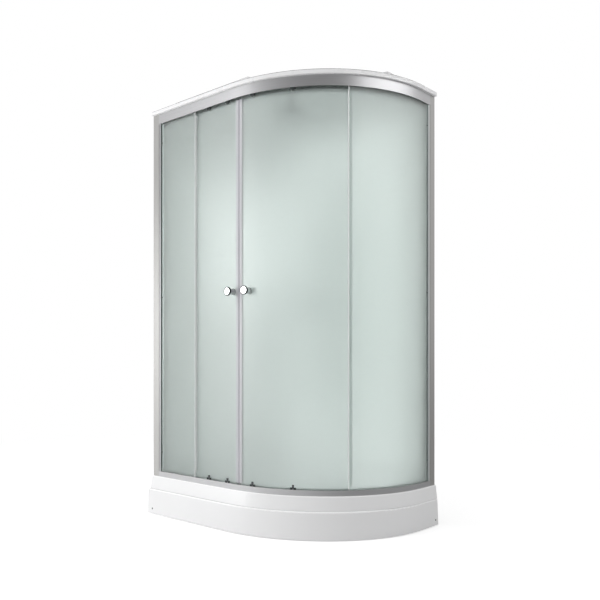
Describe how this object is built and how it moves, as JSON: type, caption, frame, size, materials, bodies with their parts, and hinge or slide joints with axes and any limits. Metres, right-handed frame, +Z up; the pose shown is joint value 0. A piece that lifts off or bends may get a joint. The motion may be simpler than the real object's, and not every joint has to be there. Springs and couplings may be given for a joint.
{
  "type": "shower cabin",
  "caption": "Corner shower cabin with a rounded frosted glass front, sliding doors on rollers, aluminium rails, white tray with apron and a closed roof.",
  "frame": {"origin": "on the floor, at the centre of the tray's rectangular footprint", "axes": "+Z up, +Y towards the long back wall, -X towards the short side wall; the round corner of the front is at +X, -Y"},
  "size_m": [1.2, 0.8, 2.135],
  "materials": {
    "tray_acrylic": "glossy white acrylic",
    "roof_acrylic": "glossy white acrylic",
    "wall_acrylic": "glossy white panel",
    "satin_aluminium": "satin anodised",
    "frosted_glass": "frosted toughened glass with a faint green tint",
    "clear_seal": "soft clear vinyl",
    "magnet_strip": "dark magnetic strip",
    "gasket_rubber": "dark green-grey gasket",
    "polished_chrome": "polished",
    "dark_plastic": "moulded dark grey",
    "release_plastic": "moulded grey",
    "wheel_nylon": "nylon",
    "zinc_steel": "zinc plated",
    "screw_steel": "stainless screws",
    "brass_nut": "plain brass",
    "foot_rubber": "black rubber",
    "drain_plastic": "grey moulded"
  },
  "bodies": {
    "cabin": {"apron_brackets": "zinc_steel", "apron_screws": "screw_steel", "back_wall_panel": "wall_acrylic", "bottom_rail": "satin_aluminium", "corner_screws": "screw_steel", "drain_cover": "polished_chrome", "drain_seal": "gasket_rubber", "drain_trap": "drain_plastic", "foot_pads": "foot_rubber", "foot_studs": "zinc_steel", "front_apron": "tray_acrylic", "glazing_screws": "screw_steel", "left_fixed_panel": "frosted_glass", "left_fixed_seal": "clear_seal", "left_gasket": "gasket_rubber", "left_glazing_profile": "satin_aluminium", "left_wall_profile": "satin_aluminium", "mixer_body": "polished_chrome", "rain_head": "polished_chrome", "rain_head_nut": "brass_nut", "rear_corner_profile": "satin_aluminium", "right_fixed_panel": "frosted_glass", "right_fixed_seal": "clear_seal", "right_gasket": "gasket_rubber", "right_glazing_profile": "satin_aluminium", "right_wall_profile": "satin_aluminium", "roof_screws": "screw_steel", "roof_shell": "roof_acrylic", "shower_tray": "tray_acrylic", "side_wall_panel": "wall_acrylic", "top_rail": "satin_aluminium", "tray_frame": "zinc_steel"},
    "left_door": {"left_door_glass": "frosted_glass", "left_meeting_seal": "clear_seal", "left_magnet_strip": "magnet_strip", "left_tail_seal": "clear_seal", "left_upper_carriers": "dark_plastic", "left_lower_carriers": "dark_plastic", "left_door_knobs": "polished_chrome"},
    "right_door": {"right_door_glass": "frosted_glass", "right_meeting_seal": "clear_seal", "right_magnet_strip": "magnet_strip", "right_tail_seal": "clear_seal", "right_upper_carriers": "dark_plastic", "right_lower_carriers": "dark_plastic", "right_door_knobs": "polished_chrome"},
    "left_tail_upper_wheel": {"left_tail_upper_wheel": "wheel_nylon"},
    "left_tail_lower_wheel": {"left_tail_lower_wheel": "wheel_nylon"},
    "left_tail_release_button": {"left_tail_release_button": "release_plastic"},
    "left_meet_upper_wheel": {"left_meet_upper_wheel": "wheel_nylon"},
    "left_meet_lower_wheel": {"left_meet_lower_wheel": "wheel_nylon"},
    "left_meet_release_button": {"left_meet_release_button": "release_plastic"},
    "right_tail_upper_wheel": {"right_tail_upper_wheel": "wheel_nylon"},
    "right_tail_lower_wheel": {"right_tail_lower_wheel": "wheel_nylon"},
    "right_tail_release_button": {"right_tail_release_button": "release_plastic"},
    "right_meet_upper_wheel": {"right_meet_upper_wheel": "wheel_nylon"},
    "right_meet_lower_wheel": {"right_meet_lower_wheel": "wheel_nylon"},
    "right_meet_release_button": {"right_meet_release_button": "release_plastic"},
    "mixer_lever": {"mixer_lever": "polished_chrome"},
    "diverter_knob": {"diverter_knob": "polished_chrome"}
  },
  "joints": [
    {"name": "left_door_slide", "type": "slide", "parent": "cabin", "child": "left_door", "axis": [-1, 0, 0], "range_m": [0, 0.215]},
    {"name": "right_door_slide_round", "type": "hinge", "parent": "cabin", "child": "right_door", "pos_m": [-0.05, 0.27, 1.1], "axis": [0, 0, 1], "range_deg": [0, 35.5]},
    {"name": "left_tail_upper_wheel_roll", "type": "hinge", "parent": "left_door", "child": "left_tail_upper_wheel", "pos_m": [-0.2046, -0.3302, 2.003], "axis": [0, -1, 0], "range_deg": [-5, 1077]},
    {"name": "left_tail_lower_wheel_roll", "type": "hinge", "parent": "left_door", "child": "left_tail_lower_wheel", "pos_m": [-0.2046, -0.3302, 0.208], "axis": [0, -1, 0], "range_deg": [-5, 1545]},
    {"name": "left_tail_release", "type": "slide", "parent": "left_door", "child": "left_tail_release_button", "axis": [0, 0, -1], "range_m": [0, 0.005], "stiffness_N_per_m": 300},
    {"name": "left_meet_upper_wheel_roll", "type": "hinge", "parent": "left_door", "child": "left_meet_upper_wheel", "pos_m": [-0.08106, -0.3302, 2.003], "axis": [0, -1, 0], "range_deg": [-5, 1077]},
    {"name": "left_meet_lower_wheel_roll", "type": "hinge", "parent": "left_door", "child": "left_meet_lower_wheel", "pos_m": [-0.08106, -0.3302, 0.208], "axis": [0, -1, 0], "range_deg": [-5, 1545]},
    {"name": "left_meet_release", "type": "slide", "parent": "left_door", "child": "left_meet_release_button", "axis": [0, 0, -1], "range_m": [0, 0.005], "stiffness_N_per_m": 300},
    {"name": "right_tail_upper_wheel_roll", "type": "hinge", "parent": "right_door", "child": "right_tail_upper_wheel", "pos_m": [0.24281, -0.25393, 2.003], "axis": [0.4879, -0.8729, 0], "range_deg": [-1858, 5]},
    {"name": "right_tail_lower_wheel_roll", "type": "hinge", "parent": "right_door", "child": "right_tail_lower_wheel", "pos_m": [0.24281, -0.25393, 0.208], "axis": [0.4879, -0.8729, 0], "range_deg": [-2669, 5]},
    {"name": "right_tail_release", "type": "slide", "parent": "right_door", "child": "right_tail_release_button", "axis": [0, 0, -1], "range_m": [0, 0.005], "stiffness_N_per_m": 300},
    {"name": "right_meet_upper_wheel_roll", "type": "hinge", "parent": "right_door", "child": "right_meet_upper_wheel", "pos_m": [0.06452, -0.31917, 2.003], "axis": [0.1908, -0.9816, 0], "range_deg": [-1858, 5]},
    {"name": "right_meet_lower_wheel_roll", "type": "hinge", "parent": "right_door", "child": "right_meet_lower_wheel", "pos_m": [0.06452, -0.31917, 0.208], "axis": [0.1908, -0.9816, 0], "range_deg": [-2669, 5]},
    {"name": "right_meet_release", "type": "slide", "parent": "right_door", "child": "right_meet_release_button", "axis": [0, 0, -1], "range_m": [0, 0.005], "stiffness_N_per_m": 300},
    {"name": "mixer_lever_turn", "type": "hinge", "parent": "cabin", "child": "mixer_lever", "pos_m": [-0.065, 0.336, 1.08], "axis": [-1, 0, 0], "range_deg": [-10, 50]},
    {"name": "diverter_turn", "type": "hinge", "parent": "cabin", "child": "diverter_knob", "pos_m": [-0.295, 0.336, 1.08], "axis": [-1, 0, 0], "range_deg": [-90, 90]}
  ],
  "couplings": [
    {"joint": "left_tail_upper_wheel_roll", "follows": "left_door_slide", "rad_per_m": 86.957},
    {"joint": "left_tail_lower_wheel_roll", "follows": "left_door_slide", "rad_per_m": 125},
    {"joint": "left_meet_upper_wheel_roll", "follows": "left_door_slide", "rad_per_m": 86.957},
    {"joint": "left_meet_lower_wheel_roll", "follows": "left_door_slide", "rad_per_m": 125},
    {"joint": "right_tail_upper_wheel_roll", "follows": "right_door_slide_round", "ratio": -52.191},
    {"joint": "right_tail_lower_wheel_roll", "follows": "right_door_slide_round", "ratio": -75.025},
    {"joint": "right_meet_upper_wheel_roll", "follows": "right_door_slide_round", "ratio": -52.191},
    {"joint": "right_meet_lower_wheel_roll", "follows": "right_door_slide_round", "ratio": -75.025}
  ]
}
